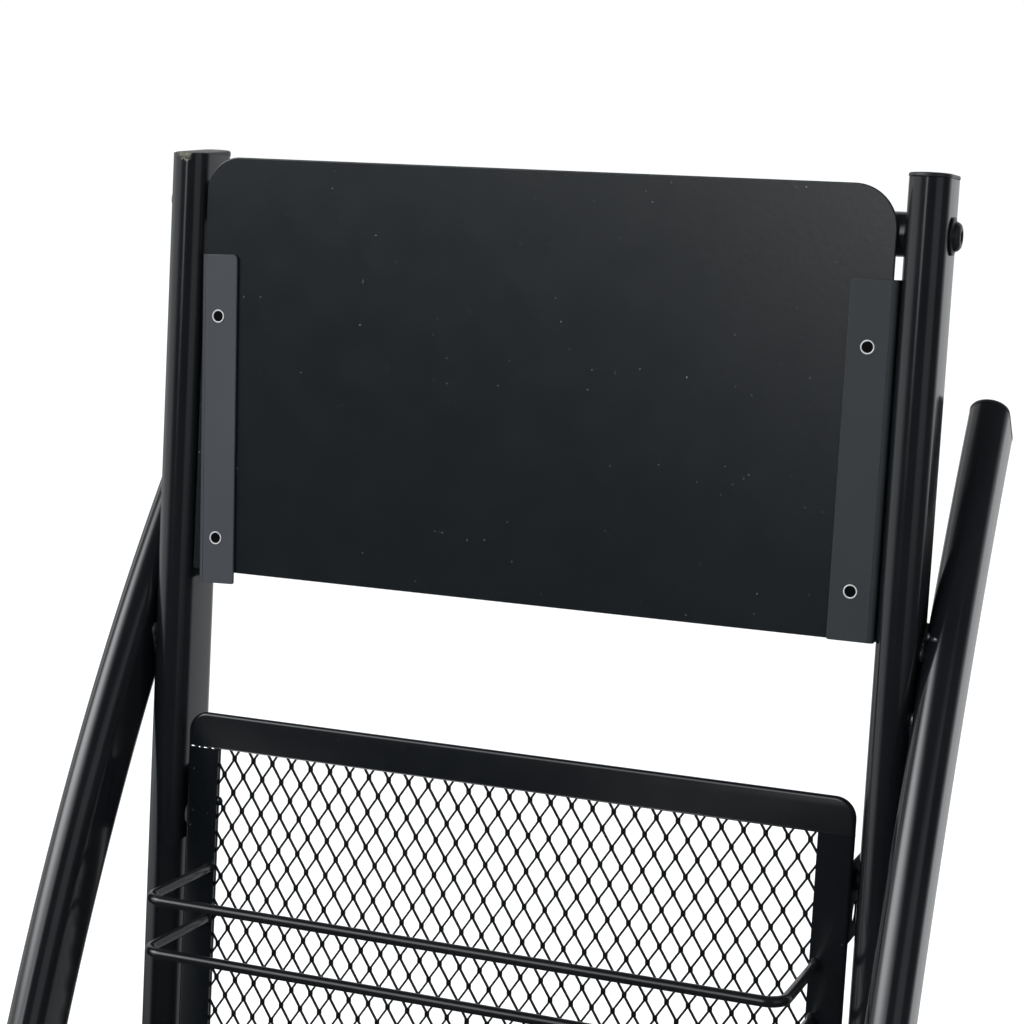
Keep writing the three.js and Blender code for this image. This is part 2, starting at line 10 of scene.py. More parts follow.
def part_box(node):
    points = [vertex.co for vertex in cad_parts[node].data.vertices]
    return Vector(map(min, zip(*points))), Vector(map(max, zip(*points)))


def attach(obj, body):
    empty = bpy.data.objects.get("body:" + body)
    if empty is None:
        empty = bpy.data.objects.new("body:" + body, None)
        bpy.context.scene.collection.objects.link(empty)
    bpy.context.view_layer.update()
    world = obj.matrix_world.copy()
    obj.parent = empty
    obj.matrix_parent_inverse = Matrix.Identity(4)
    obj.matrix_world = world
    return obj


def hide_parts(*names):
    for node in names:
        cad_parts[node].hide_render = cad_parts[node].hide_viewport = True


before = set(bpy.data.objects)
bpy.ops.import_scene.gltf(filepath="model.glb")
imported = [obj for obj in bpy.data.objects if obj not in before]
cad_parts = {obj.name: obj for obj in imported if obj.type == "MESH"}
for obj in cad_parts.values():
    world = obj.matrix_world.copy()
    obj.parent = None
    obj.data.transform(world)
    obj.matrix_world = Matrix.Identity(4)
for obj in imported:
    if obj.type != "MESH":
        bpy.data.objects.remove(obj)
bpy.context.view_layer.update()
random.seed(11)

# ---- the design's driving dimensions, in millimetres ----

MM = 0.001
LEAN = math.radians(8.7)
RACK_LENGTH = 1412.0
SIDES = {"left": -1, "right": 1}
TUBE_R = 7.5
TUBE_HALF = 7.5  # from the middle of the oval to the centre of its round edge
OVAL_STEPS = 20  # faces round each half of the oval
UPRIGHT_X = 144.5
LEG_X = 160.8
BOW_R = 869.0
BOW_STANDOFF = 129.0
BOW_MIDDLE = 637.5
BOW_TOP = math.radians(39.05)
CROSSBAR_R = 8.0
TOP_BAR_DROP = 20.6
FRONT_BAR_DROP = 1352.0
REAR_BAR_HEIGHT = 118.0
HEADER_LEFT, HEADER_RIGHT, HEADER_H, HEADER_DROP = 136.2, 134.6, 162.0, 3.5
HEADER_THICK, HEADER_CORNERS, HEADER_FRONT = 1.2, {"left": 13.5, "right": 16.0}, -10.3
BRACKET_DROP, BRACKET_H, BRACKET_THICK, BRACKET_CORNER, BRACKET_BACK = 39.0, 129.0, 1.2, 2.0, 8.0
# Each angle's flange width, distance in from the upright, extra drop and outward lean of its top.
BRACKET_FIT = {"left": (15.4, 1.8, 2.1, math.radians(1.7)), "right": (17.0, 0.0, -2.3, 0.0)}
RIVET_X, RIVET_DROPS = 127.3, {"upper": 63.0, "lower": 150.0}
POCKET_COUNT, POCKET_DROP, POCKET_PITCH = 4, 222.5, 285.0
POCKET_W, POCKET_H, POCKET_DEPTH, POCKET_LIP = 270.0, 228.0, 50.0, 16.0
BORDER_TOP, BORDER_SIDE, BORDER_THICK = 14.0, 13.5, 2.4
BORDER_CORNER, BORDER_BEND, BORDER_FRONT = 8.0, 5.0, -10.6
WIRE_R, WIRE_X, WIRE_OUT, WIRE_BEND = 2.0, 124.0, 50.5, 7.0
WIRE_DROPS = {"upper": 63.0, "lower": 83.5}
TAB_DROPS = {"upper": 24.0, "lower": 174.0}
TAB_H, TAB_BACK, TAB_THICK, TAB_HOLE_DROP, TAB_HOLE_R = 30.0, 12.0, 1.2, 20.5, 4.25
TAB_RIVET_DROP = 8.0
SOLE = 6.0  # thickness of a shoe under its tube
SLEEVE = 24.0  # how far a shoe reaches up its tube
HEEL = 11.4  # height of a cut leg's middle over its shoe's sole
LOOKS_GAP = 0.05  # between a piece and the tube beside it
HEADER_GAP = 0.3  # between the header's plate and its angles, and between an angle and its upright
BRACKET_FRONT = HEADER_FRONT - HEADER_GAP - BRACKET_THICK
BRACKET_BEND = 1.9
CUT_CORNER = 0.8  # the sheared corners of the angles

# ---- from the uprights' leaning frame (X across, Y back, Z up along them) to the row frame ----


def along(drop):
    return RACK_LENGTH - drop


def centre_of(node):
    low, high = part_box(node)
    return (low + high) / 2


RACK_Y = centre_of("top_crossbar").y - along(TOP_BAR_DROP) * MM * math.sin(LEAN)
RACK = (
    Matrix.Translation((0, RACK_Y, 0)) @ Matrix.Rotation(-LEAN, 4, "X") @ Matrix.Scale(MM, 4)
)
BOW_CENTRE = Vector((0, BOW_R - BOW_STANDOFF, along(BOW_MIDDLE)))


def bow_point(angle, lift=0.0):
    radius = BOW_R - lift
    return BOW_CENTRE + Vector((0, -radius * math.cos(angle), radius * math.sin(angle)))


def height_of(point):
    """Height over the floor of a point of the leaning frame."""
    return point.z * math.cos(LEAN) - point.y * math.sin(LEAN)


def bow_angle_at(height):
    return -math.asin((height_of(BOW_CENTRE) - height) / BOW_R) - LEAN


BOW_END = bow_angle_at(SOLE + HEEL)
# The bow crosses the uprights at this angle above and below its middle.
CROSSING = math.acos((BOW_R - BOW_STANDOFF) / BOW_R)
CREVICE_X = (UPRIGHT_X + LEG_X) / 2
CREVICE_HALF = (LEG_X - UPRIGHT_X) / 2 - TUBE_R
CREVICE_NEAR, CREVICE_FAR = 38.0, 75.0  # the dull coat is full to the first and gone at the second
CREVICE_ROUGH, CREVICE_SPECULAR = 0.8, 0.06

# ---- node materials ----


class Finish:
    """A Principled material whose colour, roughness and bump come from nodes sized in millimetres."""

    def __init__(self, name, metallic=0.0, specular=0.5):
        self.material = bpy.data.materials.new(name)
        self.material.use_nodes = True
        self.tree = self.material.node_tree
        self.shader = self.tree.nodes["Principled BSDF"]
        self.shader.inputs["Metallic"].default_value = metallic
        self.shader.inputs["Specular IOR Level"].default_value = specular
        self.place = self.tree.nodes.new("ShaderNodeTexCoord").outputs["Object"]

    def node(self, kind, **settings):
        made = self.tree.nodes.new(kind)
        for key, value in settings.items():
            setattr(made, key, value)
        return made

    def link(self, source, target):
        self.tree.links.new(source, target)

    def noise(self, size_mm, detail=2.0, rough=0.5):
        """Noise whose features are about size_mm across."""
        made = self.node("ShaderNodeTexNoise")
        made.inputs["Scale"].default_value = 1.0 / (size_mm * MM)
        made.inputs["Detail"].default_value = detail
        made.inputs["Roughness"].default_value = rough
        self.link(self.place, made.inputs["Vector"])
        return made.outputs["Fac"]

    def ramp(self, value, low, high, low_out, high_out):
        made = self.node("ShaderNodeMapRange")
        made.inputs["From Min"].default_value = low
        made.inputs["From Max"].default_value = high
        made.inputs["To Min"].default_value = low_out
        made.inputs["To Max"].default_value = high_out
        self.link(value, made.inputs["Value"])
        return made.outputs["Result"]

    def mix(self, factor, first, second):
        """first and second are colours or sockets."""
        made = self.node("ShaderNodeMix", data_type="RGBA")
        self.link(factor, made.inputs["Factor"])
        for value, socket in ((first, made.inputs["A"]), (second, made.inputs["B"])):
            if isinstance(value, tuple):
                socket.default_value = (*value, 1)
            else:
                self.link(value, socket)
        return made.outputs["Result"]

    def maths(self, operation, first, second):
        made = self.node("ShaderNodeMath", operation=operation)
        for value, socket in ((first, made.inputs[0]), (second, made.inputs[1])):
            if isinstance(value, (int, float)):
                socket.default_value = value
            else:
                self.link(value, socket)
        return made.outputs["Value"]

    def colour(self, source):
        self.link(source, self.shader.inputs["Base Color"])

    def roughness(self, source):
        self.link(source, self.shader.inputs["Roughness"])

    def bumps(self, *layers):
        """Each layer is (height socket, depth in mm)."""
        normal = None
        for height, depth in layers:
            bump = self.node("ShaderNodeBump")
            bump.inputs["Strength"].default_value = 1.0
            bump.inputs["Distance"].default_value = depth * MM
            self.link(height, bump.inputs["Height"])
            if normal is not None:
                self.link(normal, bump.inputs["Normal"])
            normal = bump.outputs["Normal"]
        self.link(normal, self.shader.inputs["Normal"])

    def near(self, point, reach_mm):
        """1 at a point of the row frame, falling to 0 at reach_mm from it."""
        made = self.node("ShaderNodeVectorMath", operation="DISTANCE")
        self.link(self.place, made.inputs[0])
        made.inputs[1].default_value = point
        return self.ramp(made.outputs["Value"], 0, reach_mm * MM, 1, 0)


DUST = (0.22, 0.23, 0.23)
UNDERCOAT = (0.105, 0.100, 0.080)
WEAR_REACH = 5.0


def enamel(name, dark, light, rough_low, rough_high, peel, grain, specks=0.0, specular=0.5):
    """Powder coat: two close tones, uneven gloss, orange peel, fine grain and specks of dust."""
    finish = Finish(name, specular=specular)
    tone = finish.noise(38, detail=3)
    colour = finish.mix(finish.ramp(tone, 0.3, 0.7, 0, 1), dark, light)
    if specks:
        dust = finish.ramp(finish.noise(1.3, detail=1, rough=0.3), 0.80, 0.84, 0, specks)
        colour = finish.mix(dust, colour, DUST)
    finish.colour(colour)
    gloss = finish.noise(14, detail=4, rough=0.6)
    finish.roughness(finish.ramp(gloss, 0.3, 0.7, rough_low, rough_high))
    finish.bumps((finish.noise(2.6, detail=2), peel), (finish.noise(0.45, detail=2), grain))
    return finish


def worn_enamel(name, patch, **looks):
    """Powder coat that has a small rubbed patch down to the dull undercoat."""
    finish = enamel(name, **looks)
    base = finish.shader.inputs["Base Color"].links[0].from_socket
    ragged = finish.ramp(finish.noise(1.5, detail=5, rough=0.7), 0.35, 0.6, -0.35, 0.35)
    close = finish.maths("ADD", finish.near(patch, WEAR_REACH), ragged)
    mask = finish.ramp(close, 0.52, 0.66, 0, 1)
    finish.colour(finish.mix(mask, base, UNDERCOAT))
    return finish


def dull_in_crevice(finish):
    """Dulls the flats that face each other near the crossings, so that the narrow gap between them
    stays as dark as it looks. It's a look, not a known state of the paint."""
    split = finish.node("ShaderNodeSeparateXYZ")
    finish.link(finish.place, split.inputs["Vector"])
    out = finish.maths("ABSOLUTE", split.outputs["X"], 0.0)
    from_gap = finish.maths("ABSOLUTE", finish.maths("SUBTRACT", out, CREVICE_X * MM), 0.0)
    facing = finish.ramp(from_gap, (CREVICE_HALF + 0.1) * MM, (CREVICE_HALF + 0.4) * MM, 1, 0)
    flatten = finish.node("ShaderNodeVectorMath", operation="MULTIPLY")
    finish.link(finish.place, flatten.inputs[0])
    flatten.inputs[1].default_value = (0, 1, 1)
    close = None
    for angle in (CROSSING, -CROSSING):
        at = RACK @ bow_point(angle)
        gap = finish.node("ShaderNodeVectorMath", operation="DISTANCE")
        finish.link(flatten.outputs["Vector"], gap.inputs[0])
        gap.inputs[1].default_value = (0, at.y, at.z)
        near = finish.ramp(gap.outputs["Value"], CREVICE_NEAR * MM, CREVICE_FAR * MM, 1, 0)
        close = near if close is None else finish.maths("MAXIMUM", close, near)
    mask = finish.maths("MULTIPLY", facing, close)
    polished = finish.shader.inputs["Roughness"].links[0].from_socket
    dull = finish.maths("MULTIPLY", mask, CREVICE_ROUGH)
    finish.roughness(finish.maths("MAXIMUM", polished, dull))
    specular = finish.ramp(mask, 0, 1, 0.5, CREVICE_SPECULAR)
    finish.link(specular, finish.shader.inputs["Specular IOR Level"])
    return finish


WEAR_POINT = RACK @ Vector((-UPRIGHT_X + 0.5, -15.2, RACK_LENGTH - 2.6))

TUBE_LOOKS = {
    "dark": (0.0036, 0.0043, 0.0054),
    "light": (0.0050, 0.0058, 0.0070),
    "rough_low": 0.13,
    "rough_high": 0.17,
    "peel": 0.006,
    "grain": 0.0010,
}
TUBE = dull_in_crevice(enamel("tube_enamel", **TUBE_LOOKS))
TUBE_WORN = dull_in_crevice(worn_enamel("tube_enamel_worn", WEAR_POINT, **TUBE_LOOKS))
PANEL = enamel(
    "panel_enamel", (0.0028, 0.0042, 0.0056), (0.0034, 0.0049, 0.0063), 0.23, 0.26, 0.020, 0.010,
    specks=0.45,
)
BRACKET_LOOKS = {
    "rough_low": 0.50,
    "rough_high": 0.58,
    "peel": 0.010,
    "grain": 0.010,
    "specular": 0.35,
}
# The two angles are one material in two tones: the left is painted lighter and the right darker, as
# painted light and shade.
BRACKET = {
    "left": enamel(
        "bracket_enamel", (0.0285, 0.0310, 0.0365), (0.0315, 0.0340, 0.0390), **BRACKET_LOOKS
    ),
    "right": enamel(
        "bracket_enamel_painted_shade", (0.0140, 0.0175, 0.0195), (0.0160, 0.0195, 0.0215), **BRACKET_LOOKS
    ),
}
BORDER = enamel(
    "border_enamel", (0.0018, 0.0026, 0.0036), (0.0027, 0.0036, 0.0047), 0.19, 0.23, 0.008, 0.003,
    specks=0.2,
)
# The ears are the border's own sheet, coloured darker and made duller than it as painted shade in the
# gap between the pocket and the upright.
TAB_SHADED = enamel(
    "tab_enamel_painted_shade", (0.0012, 0.0014, 0.0017), (0.0018, 0.0021, 0.0025), 0.60, 0.70, 0.008, 0.003,
    specular=0.12,
)
MESH_PAINT = enamel(
    "mesh_enamel", (0.0012, 0.0015, 0.0019), (0.0019, 0.0023, 0.0028), 0.36, 0.44, 0.008, 0.003,
    specular=0.25,
)
WIRE = enamel(
    "wire_enamel", (0.0040, 0.0046, 0.0054), (0.0055, 0.0062, 0.0070), 0.18, 0.22, 0.004, 0.0012,
)


def black_plastic():
    finish = Finish("black_plastic", specular=0.45)
    tone = finish.noise(9, detail=3)
    finish.colour(finish.mix(tone, (0.0060, 0.0064, 0.0072), (0.0095, 0.0100, 0.0110)))
    finish.roughness(finish.ramp(finish.noise(5, detail=4), 0.3, 0.7, 0.30, 0.44))
    finish.bumps((finish.noise(0.35, detail=2), 0.006), (finish.noise(4, detail=1), 0.012))
    return finish


def black_oxide():
    finish = Finish("black_oxide", metallic=0.6, specular=0.5)
    finish.colour(finish.mix(finish.noise(3, detail=4), (0.010, 0.010, 0.011), (0.022, 0.022, 0.023)))
    finish.roughness(finish.ramp(finish.noise(2, detail=3), 0.3, 0.7, 0.28, 0.42))
    finish.bumps((finish.noise(0.25, detail=2), 0.004))
    return finish


def bright_steel(name, rough_low, rough_high, metallic=1.0, tone=1.0):
    finish = Finish(name, metallic=metallic)
    dull = tuple(c * tone for c in (0.62, 0.63, 0.65))
    bright = tuple(c * tone for c in (0.86, 0.87, 0.88))
    finish.colour(finish.mix(finish.noise(1.2, detail=4), dull, bright))
    finish.roughness(finish.ramp(finish.noise(0.6, detail=3), 0.3, 0.7, rough_low, rough_high))
    finish.bumps((finish.noise(0.3, detail=2), 0.003))
    return finish


PLASTIC = black_plastic()
OXIDE = black_oxide()
STEEL = bright_steel("bright_steel", 0.16, 0.30)
RIM = bright_steel("rivet_rim", 0.42, 0.52, metallic=0.35, tone=0.7)
# Near black with almost no gloss: painted shade for the dark inside of a hollow rivet's bore.
BORE_SHADE = enamel(
    "rivet_bore_painted_shade", (0.0010, 0.0011, 0.0013), (0.0020, 0.0021, 0.0023), 0.7, 0.8, 0.004, 0.002,
    specular=0.05,
)
WELD = enamel(
    "weld_enamel", (0.0085, 0.0095, 0.0110), (0.020, 0.021, 0.023), 0.14, 0.26, 0.030, 0.004,
    specular=0.8,
)

# ---- mesh building ----


class Shape:
    """Vertices and faces in the leaning frame, in millimetres, gathered from simple moves."""

    def __init__(self):
        self.points = []
        self.faces = []

    def ring(self, points):
        start = len(self.points)
        self.points.extend(Vector(p) for p in points)
        return list(range(start, start + len(points)))

    def band(self, first, second):
        """Quads between two closed rings of equal length."""
        count = len(first)
        for i in range(count):
            j = (i + 1) % count
            self.faces.append((first[i], first[j], second[j], second[i]))

    def loft(self, rings, start_cap=True, end_cap=True):
        """A skin over closed rings; the rings run anticlockwise seen from the far end."""
        made = [self.ring(r) for r in rings]
        for first, second in zip(made, made[1:]):
            self.band(first, second)
        if start_cap:
            self.faces.append(tuple(reversed(made[0])))
        if end_cap:
            self.faces.append(tuple(made[-1]))

    def moved(self, matrix):
        other = Shape()
        other.points = [matrix @ p for p in self.points]
        other.faces = list(self.faces)
        if matrix.to_3x3().determinant() < 0:
            other.faces = [tuple(reversed(f)) for f in other.faces]
        return other

    def add(self, other):
        start = len(self.points)
        self.points.extend(other.points)
        self.faces.extend(tuple(start + i for i in f) for f in other.faces)
        return self


def piece(name, shape, finish, nodes=(), smooth_deg=38, extra=()):
    """Makes a riding piece of the rack from a shape. extra holds (first face, last face, finish)."""
    mesh = bpy.data.meshes.new(name)
    mesh.from_pydata([RACK @ p for p in shape.points], [], shape.faces)
    mesh.materials.append(finish.material)
    for first, last, other in extra:
        mesh.materials.append(other.material)
        for polygon in mesh.polygons[first:last]:
            polygon.material_index = len(mesh.materials) - 1
    mesh.shade_smooth()
    mesh.set_sharp_from_angle(angle=math.radians(smooth_deg))
    mesh.update()
    made = bpy.data.objects.new(name, mesh)
    bpy.context.scene.collection.objects.link(made)
    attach(made, "root")
    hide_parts(*nodes)


def circle(radius, count):
    angles = [i * (2 * math.pi / count) for i in range(count)]
    return [(radius * math.cos(a), radius * math.sin(a)) for a in angles]


def oval(offset=0.0):
    """The tube's outline, anticlockwise seen from above: (x, y) pairs."""
    radius = max(TUBE_R + offset, 0.05)
    points = []
    for end in (1, -1):
        for i in range(OVAL_STEPS + 1):
            angle = math.pi * i / OVAL_STEPS
            y = TUBE_HALF + radius * math.sin(angle)
            points.append((end * radius * math.cos(angle), end * y))
    return points


def turned(profile, count=48):
    """A turned shape about Z. profile holds (height, radius or a function of the angle)."""
    shape = Shape()
    rings = []
    for height, radius in profile:
        ring = []
        for i in range(count):
            angle = 2 * math.pi * i / count
            r = radius(angle) if callable(radius) else radius
            ring.append((r * math.cos(angle), r * math.sin(angle), height))
        rings.append(ring)
    shape.loft(rings)
    return shape


def plate(outline, holes, thick, edge):
    """A plate in the XY plane with rounded edges, its middle at z = 0."""
    data = bpy.data.curves.new("outline", "CURVE")
    data.dimensions = "2D"
    data.fill_mode = "BOTH"
    data.extrude = thick / 2 - edge
    data.bevel_depth = edge
    data.bevel_resolution = 3
    data.offset = -edge
    for loop in (outline, *holes):
        spline = data.splines.new("POLY")
        spline.points.add(len(loop) - 1)
        for point, (x, y) in zip(spline.points, loop):
            point.co = (x, y, 0, 1)
        spline.use_cyclic_u = True
    holder = bpy.data.objects.new("outline", data)
    bpy.context.scene.collection.objects.link(holder)
    bpy.context.view_layer.update()
    mesh = bpy.data.meshes.new_from_object(
        holder.evaluated_get(bpy.context.evaluated_depsgraph_get())
    )
    shape = Shape()
    shape.points = [v.co.copy() for v in mesh.vertices]
    shape.faces = [tuple(p.vertices) for p in mesh.polygons]
    bpy.data.objects.remove(holder)
    bpy.data.curves.remove(data)
    bpy.data.meshes.remove(mesh)
    return shape


def corner_outline(x0, z0, x1, z1, corners, steps=10):
    """A rectangle's outline, anticlockwise from its low corner; corners gives four radii."""
    points = []
    places = ((x0, z0, 1, 1), (x1, z0, -1, 1), (x1, z1, -1, -1), (x0, z1, 1, -1))
    starts = (math.pi, -math.pi / 2, 0.0, math.pi / 2)
    for (x, z, sx, sz), radius, start in zip(places, corners, starts):
        if not radius:
            points.append((x, z))
            continue
        for i in range(steps + 1):
            a = start + math.pi / 2 * i / steps
            centre_x, centre_z = x + sx * radius, z + sz * radius
            points.append((centre_x + radius * math.cos(a), centre_z + radius * math.sin(a)))
    return points


# Turns a plate's XY plane to X, Z, with the side that faced +Z to the front.
STAND_UP = Matrix(((1, 0, 0, 0), (0, 0, -1, 0), (0, 1, 0, 0), (0, 0, 0, 1)))
# Turns a plate's XY plane to Y, Z, with the side that faced +Z towards +X.
SIDE_ON = Matrix(((0, 0, 1, 0), (1, 0, 0, 0), (0, 1, 0, 0), (0, 0, 0, 1)))
# Turn a turned shape's axis from Z to -Y, and to +Y.
TO_FRONT = Matrix.Rotation(math.pi / 2, 4, "X")
TO_BACK = Matrix.Rotation(-math.pi / 2, 4, "X")


def shift(x, y, z):
    return Matrix.Translation((x, y, z))


def outward(side):
    """Turns a turned shape's axis from Z to X on the right, and to -X on the left."""
    return Matrix.Rotation(side * math.pi / 2, 4, "Y")


# ---- side frames ----

TUBE_ENDS = {"left": 2.6, "right": 0.7}  # the left upright is cut a little shorter than the right
WELD_REACH = 12.0  # from the crossing's middle to the outermost blobs of a fillet
WELD_BLOBS = 7
WELD_BLOB_R = 1.5
BOW_STEPS = 150
PLUG = 9.0  # how far a cap's plug goes into the tube


def straight_tube(x, low, high):
    shape = Shape()
    outline = oval()
    heights = [low + (high - low) * i / 24 for i in range(25)]
    shape.loft([[(x + px, py, z) for px, py in outline] for z in heights])
    return shape


def bow_ring(x, angle, outline):
    """An outline square to the bow; its y runs towards the bow's centre."""
    return [(x + px, *bow_point(angle, py).yz) for px, py in outline]


def bow_tube(x):
    shape = Shape()
    angles = [BOW_END + (BOW_TOP - BOW_END) * i / BOW_STEPS for i in range(BOW_STEPS + 1)]
    shape.loft([bow_ring(x, a, oval()) for a in angles])
    return shape


def weld_bead(side, angle):
    """Fillets in the notches above and below the place where a leg lies against its upright."""
    shape = Shape()
    inner = side * CREVICE_X
    turn = angle / 2
    at = bow_point(angle)
    for end in (1, -1):
        for i in range(WELD_BLOBS):
            spread = (i - 3) / 3
            reach = WELD_REACH + 9.0 * (1 - abs(spread))
            size = WELD_BLOB_R + random.uniform(-0.15, 0.15)
            ball = [math.pi * k / 8 for k in range(1, 8)]
            profile = [(-size * math.cos(a), size * math.sin(a)) for a in ball]
            blob = turned([(-size, 0.05)] + profile + [(size, 0.05)], 14)
            squeeze = Matrix.Diagonal((0.9, 1.3, 2.0, 1))
            notch = shift(inner, at.y, at.z) @ Matrix.Rotation(-turn, 4, "X")
            where = notch @ shift(0, 6.5 * spread, end * reach)
            shape.add(blob.moved(where @ squeeze))
    return shape


def weld_beads_proud():
    """Two small shiny beads that stand proud in the upper notch of the right crossing."""
    shape = Shape()
    notch = bow_point(CROSSING) + Vector((CREVICE_X, 0, 19.5))
    facing = Vector((-0.29, -0.93, 0.24)).to_track_quat("Z", "Y").to_matrix().to_4x4()
    for place, width, height in (((1.7, -2.9, 0.1), 1.1, 1.5), ((4.7, -5.4, -0.3), 1.6, 0.9)):
        bead = turned([(-0.8, 0.9), (0.0, 1.0), (0.25, 0.85), (0.38, 0.5), (0.42, 0.05)], 16)
        where = shift(*(notch + Vector(place))) @ facing @ Matrix.Diagonal((width, height, 1, 1))
        shape.add(bead.moved(where))
    return shape


def lid(offset_top, thick, edge, dome):
    """A cap with a rounded rim, a low dome and a plug under it; its underside is at z = 0."""
    shape = Shape()
    rings = []
    for h, o in ((-PLUG, -3.4), (-PLUG + 1.2, -2.4), (0, -2.2)):
        rings.append([(x, y, h) for x, y in oval(o)])
    rings.append([(x, y, 0) for x, y in oval(offset_top - 0.3)])
    rings.append([(x, y, 0.25) for x, y in oval(offset_top)])
    for i in range(7):
        a = math.pi / 2 * i / 6
        h = thick - edge + edge * math.sin(a)
        rings.append([(x, y, h) for x, y in oval(offset_top - edge + edge * math.cos(a))])
    for i in range(1, 9):
        share = i / 8
        inset = (TUBE_R - edge) * share
        crown = thick + dome * (1 - (1 - share) ** 2)
        rings.append([(x, y, crown) for x, y in oval(offset_top - edge - inset)])
    shape.loft(rings)
    return shape


def front_shoe(side):
    """A moulded shoe over the foot of an upright, cut level with the floor, with a chamfered sole."""
    shape = Shape()
    x0 = side * UPRIGHT_X
    rings = []

    def level(offset, height):
        return [(x0 + x, y, (height + y * math.sin(LEAN)) / math.cos(LEAN)) for x, y in oval(offset)]

    rings.append(level(0.4, 0.02))
    rings.append(level(1.3, 0.35))
    rings.append(level(1.8, 1.3))
    rings.append([(x0 + x, y, 9.0) for x, y in oval(1.8)])
    top = SOLE + SLEEVE
    rings.append([(x0 + x, y, top - 1.0) for x, y in oval(1.8)])
    rings.append([(x0 + x, y, top - 0.3) for x, y in oval(1.5)])
    rings.append([(x0 + x, y, top) for x, y in oval(0.9)])
    rings.append([(x0 + x, y, top - 1.5) for x, y in oval(0.06)])
    shape.loft(rings)
    return shape


def rear_shoe(side):
    """The shoe of a bow leg: it follows the bow and ends level on the floor."""
    shape = Shape()
    x0 = side * LEG_X
    base = BOW_END - 0.004

    def on_floor(offset, height):
        ring = []
        for x, y in oval(offset):
            start = bow_point(base, y)
            run = Vector((0, -math.sin(base), -math.cos(base)))
            drop = (height - height_of(start)) / height_of(run)
            end = start + run * drop
            ring.append((x0 + x, end.y, end.z))
        return ring

    rings = [on_floor(0.4, 0.02), on_floor(1.3, 0.35), on_floor(1.8, 1.3)]
    top = BOW_END + SLEEVE / BOW_R
    for i in range(5):
        rings.append(bow_ring(x0, BOW_END + (top - 0.0012 - BOW_END) * i / 4, oval(1.8)))
    rings.append(bow_ring(x0, top - 0.0004, oval(1.5)))
    rings.append(bow_ring(x0, top, oval(0.9)))
    rings.append(bow_ring(x0, top - 0.0018, oval(0.06)))
    shape.loft(rings)
    return shape


def hexagon(across_flats):
    def radius(angle):
        turn = (angle + math.pi / 6) % (math.pi / 3) - math.pi / 6
        return across_flats / 2 / math.cos(turn)

    return radius


def flanged_screw():
    """A button head on a thin flange, with a hexagon socket; its seat is at z = 0."""
    profile = [(-2.0, 2.9), (0.0, 2.9)]
    profile += [(0.0, 6.5), (0.35, 6.8), (0.75, 6.75), (1.05, 6.3), (1.2, 5.45)]  # the flange
    for i in range(9):
        a = math.pi / 2 * i / 8
        profile.append((1.25 + 2.25 * math.sin(a), 2.9 + 2.4 * math.cos(a)))
    profile += [
        (3.5, hexagon(4.5)),
        (3.2, hexagon(4.05)),
        (1.5, hexagon(4.0)),
        (1.0, 0.1),
    ]
    return turned(profile, 60)


def crossbar(half, y, z):
    profile = [(-half, CROSSBAR_R - 0.3), (-half + 0.3, CROSSBAR_R)]
    profile += [(-half + 0.3 + (2 * half - 0.6) * i / 12, CROSSBAR_R) for i in range(1, 13)]
    profile += [(half, CROSSBAR_R - 0.3)]
    return turned(profile).moved(shift(0, y, z) @ outward(1))


def add_crossbar(name, tube_x, y, z):
    half = tube_x - TUBE_R - LOOKS_GAP
    rod = crossbar(half, y, z)
    piece(f"{name}_crossbar_rod", rod, TUBE, [f"{name}_crossbar"])
    for label, side in SIDES.items():
        place = shift(side * (tube_x + TUBE_R), y, z) @ outward(side)
        roll = Matrix.Rotation(random.uniform(0, 1), 4, "Z")
        piece(
            f"{name}_screw_{label}_head",
            flanged_screw().moved(place @ roll),
            OXIDE,
            [f"{name}_screw_{label}"],
            smooth_deg=30,
        )


def plastic(node, kind, shape):
    piece(f"{node}_{kind}", shape, PLASTIC, [node])


def add_side_frames():
    for label, side in SIDES.items():
        finish = TUBE_WORN if side < 0 else TUBE
        top = RACK_LENGTH - TUBE_ENDS[label]
        shape = straight_tube(side * UPRIGHT_X, SOLE, top)
        piece(f"upright_{label}_tube", shape, finish, [f"upright_{label}"])
        leg = bow_tube(side * LEG_X)
        bare = len(leg.faces)
        for angle in (CROSSING, -CROSSING):
            leg.add(weld_bead(side, angle))
        if side > 0:
            leg.add(weld_beads_proud())
        piece(
            f"bow_leg_{label}_tube",
            leg,
            TUBE,
            [f"bow_leg_{label}"],
            extra=[(bare, len(leg.faces), WELD)],
        )
        if side < 0:  # this cap isn't pushed home: its front is sunk and its back stands proud
            cap = lid(-0.1, 2.3, 0.9, 0.4)
            tip = Matrix.Rotation(math.radians(5.3), 4, "X")
            settled = shift(0, -14.2, -2.3) @ tip @ shift(0, 15, 0)
        else:
            cap = lid(0.2, 1.5, 0.7, 0.3)
            settled = shift(0, 0, 0.1)
        place = shift(side * UPRIGHT_X, 0, top) @ settled
        plastic(f"upright_cap_{label}", "lid", cap.moved(place))
        end = bow_point(BOW_TOP)
        cap = lid(0.1, 2.0, 1.2, 1.9)
        place = shift(side * LEG_X, end.y, end.z) @ Matrix.Rotation(-BOW_TOP, 4, "X") @ shift(0, 0, 0.1)
        plastic(f"bow_cap_{label}", "lid", cap.moved(place))
        plastic(f"front_shoe_{label}", "boot", front_shoe(side))
        plastic(f"rear_shoe_{label}", "boot", rear_shoe(side))


# ---- header ----


def header_panel():
    left, right = HEADER_CORNERS["left"], HEADER_CORNERS["right"]
    foot, head = along(HEADER_DROP + HEADER_H), along(HEADER_DROP)
    outline = corner_outline(-HEADER_LEFT, foot, HEADER_RIGHT, head, (1.2, 1.2, right, left), 18)
    flat = plate(outline, [], HEADER_THICK, 0.45)
    return flat.moved(shift(0, HEADER_FRONT + HEADER_THICK / 2, 0) @ STAND_UP)


